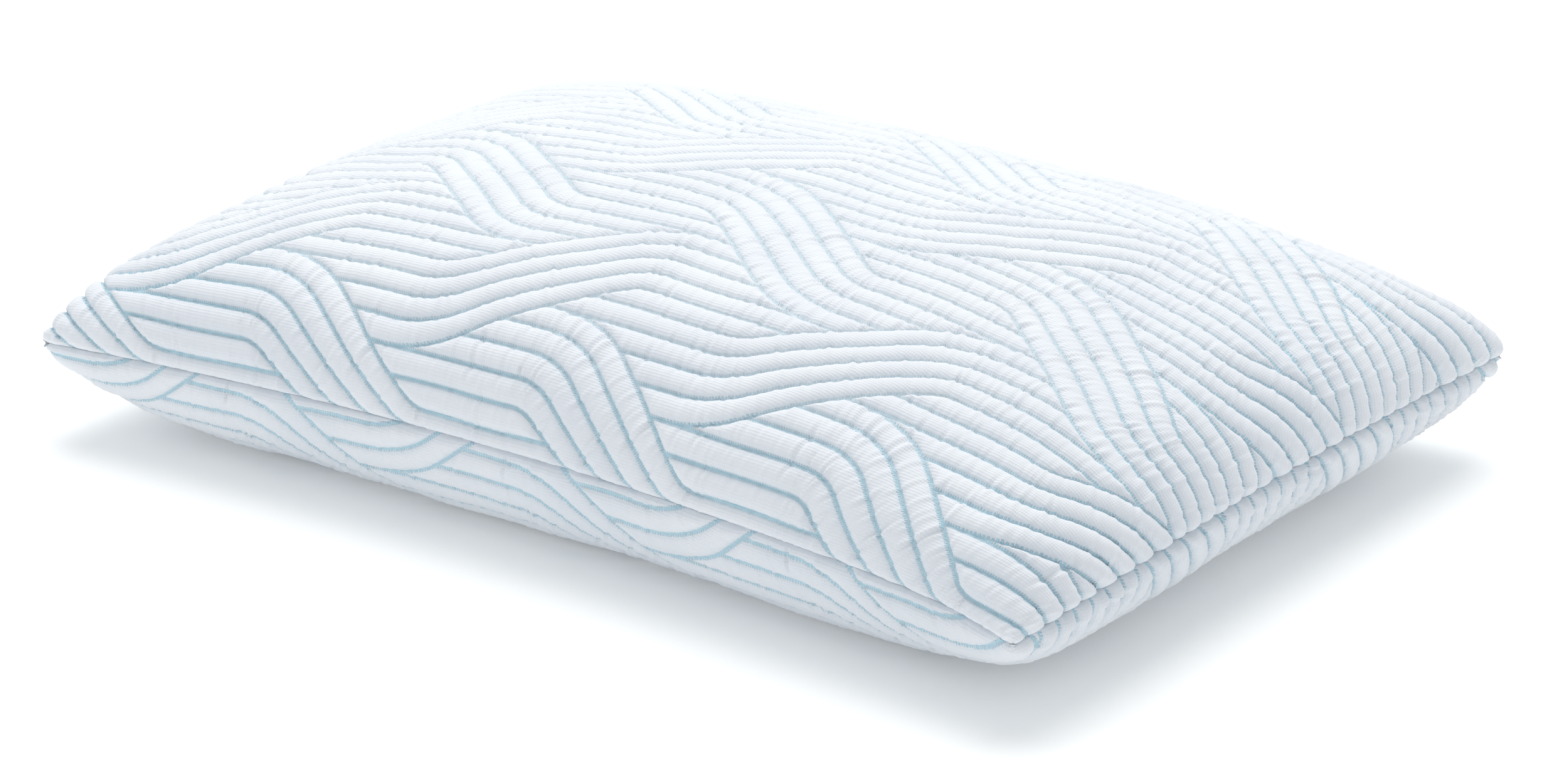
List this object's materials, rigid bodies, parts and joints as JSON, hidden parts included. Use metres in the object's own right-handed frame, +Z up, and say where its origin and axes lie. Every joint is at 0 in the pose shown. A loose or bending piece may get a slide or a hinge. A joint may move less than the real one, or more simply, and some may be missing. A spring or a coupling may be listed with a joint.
{
  "type": "bed pillow",
  "caption": "Plump rectangular bed pillow with a quilted knit cover, a sewn seam all round and a zip in its back edge.",
  "frame": {"origin": "centre of the face the pillow rests on", "axes": "+X along the long edge, +Y towards the zip edge, +Z up"},
  "size_m": [0.69, 0.474, 0.1557],
  "materials": {
    "quilted_knit": "soft quilted knit",
    "seam_tape": "overlocked cloth edge",
    "case_cloth": "thin plain jersey",
    "fill": "soft filling",
    "zip_tape": "woven tape",
    "zip_coil": "satin nylon",
    "zip_metal": "satin",
    "label_cloth": "blank satin ribbon"
  },
  "bodies": {
    "pillow": {"cover_top_panel": "quilted_knit", "cover_bottom_panel": "quilted_knit", "seam_allowance": "seam_tape", "inner_case_upper": "case_cloth", "inner_case_lower": "case_cloth", "fill_core": "fill", "zip_tape_upper": "zip_tape", "zip_tape_lower": "zip_tape", "zip_coil_upper": "zip_coil", "zip_coil_lower": "zip_coil", "zip_top_stops": "zip_metal", "zip_bottom_stop": "zip_metal", "care_label": "label_cloth"},
    "slider": {"zip_slider": "zip_metal"},
    "pull_tab": {"zip_pull_tab": "zip_metal"}
  },
  "joints": [
    {"name": "zip_slide", "type": "slide", "parent": "pillow", "child": "slider", "axis": [-1, 0, 0], "range_m": [0, 0.3998]},
    {"name": "pull_tab_hinge", "type": "hinge", "parent": "slider", "child": "pull_tab", "pos_m": [0.1999, 0.2282, 0.0634], "axis": [0, 0, -1], "range_deg": [0, 180]}
  ]
}
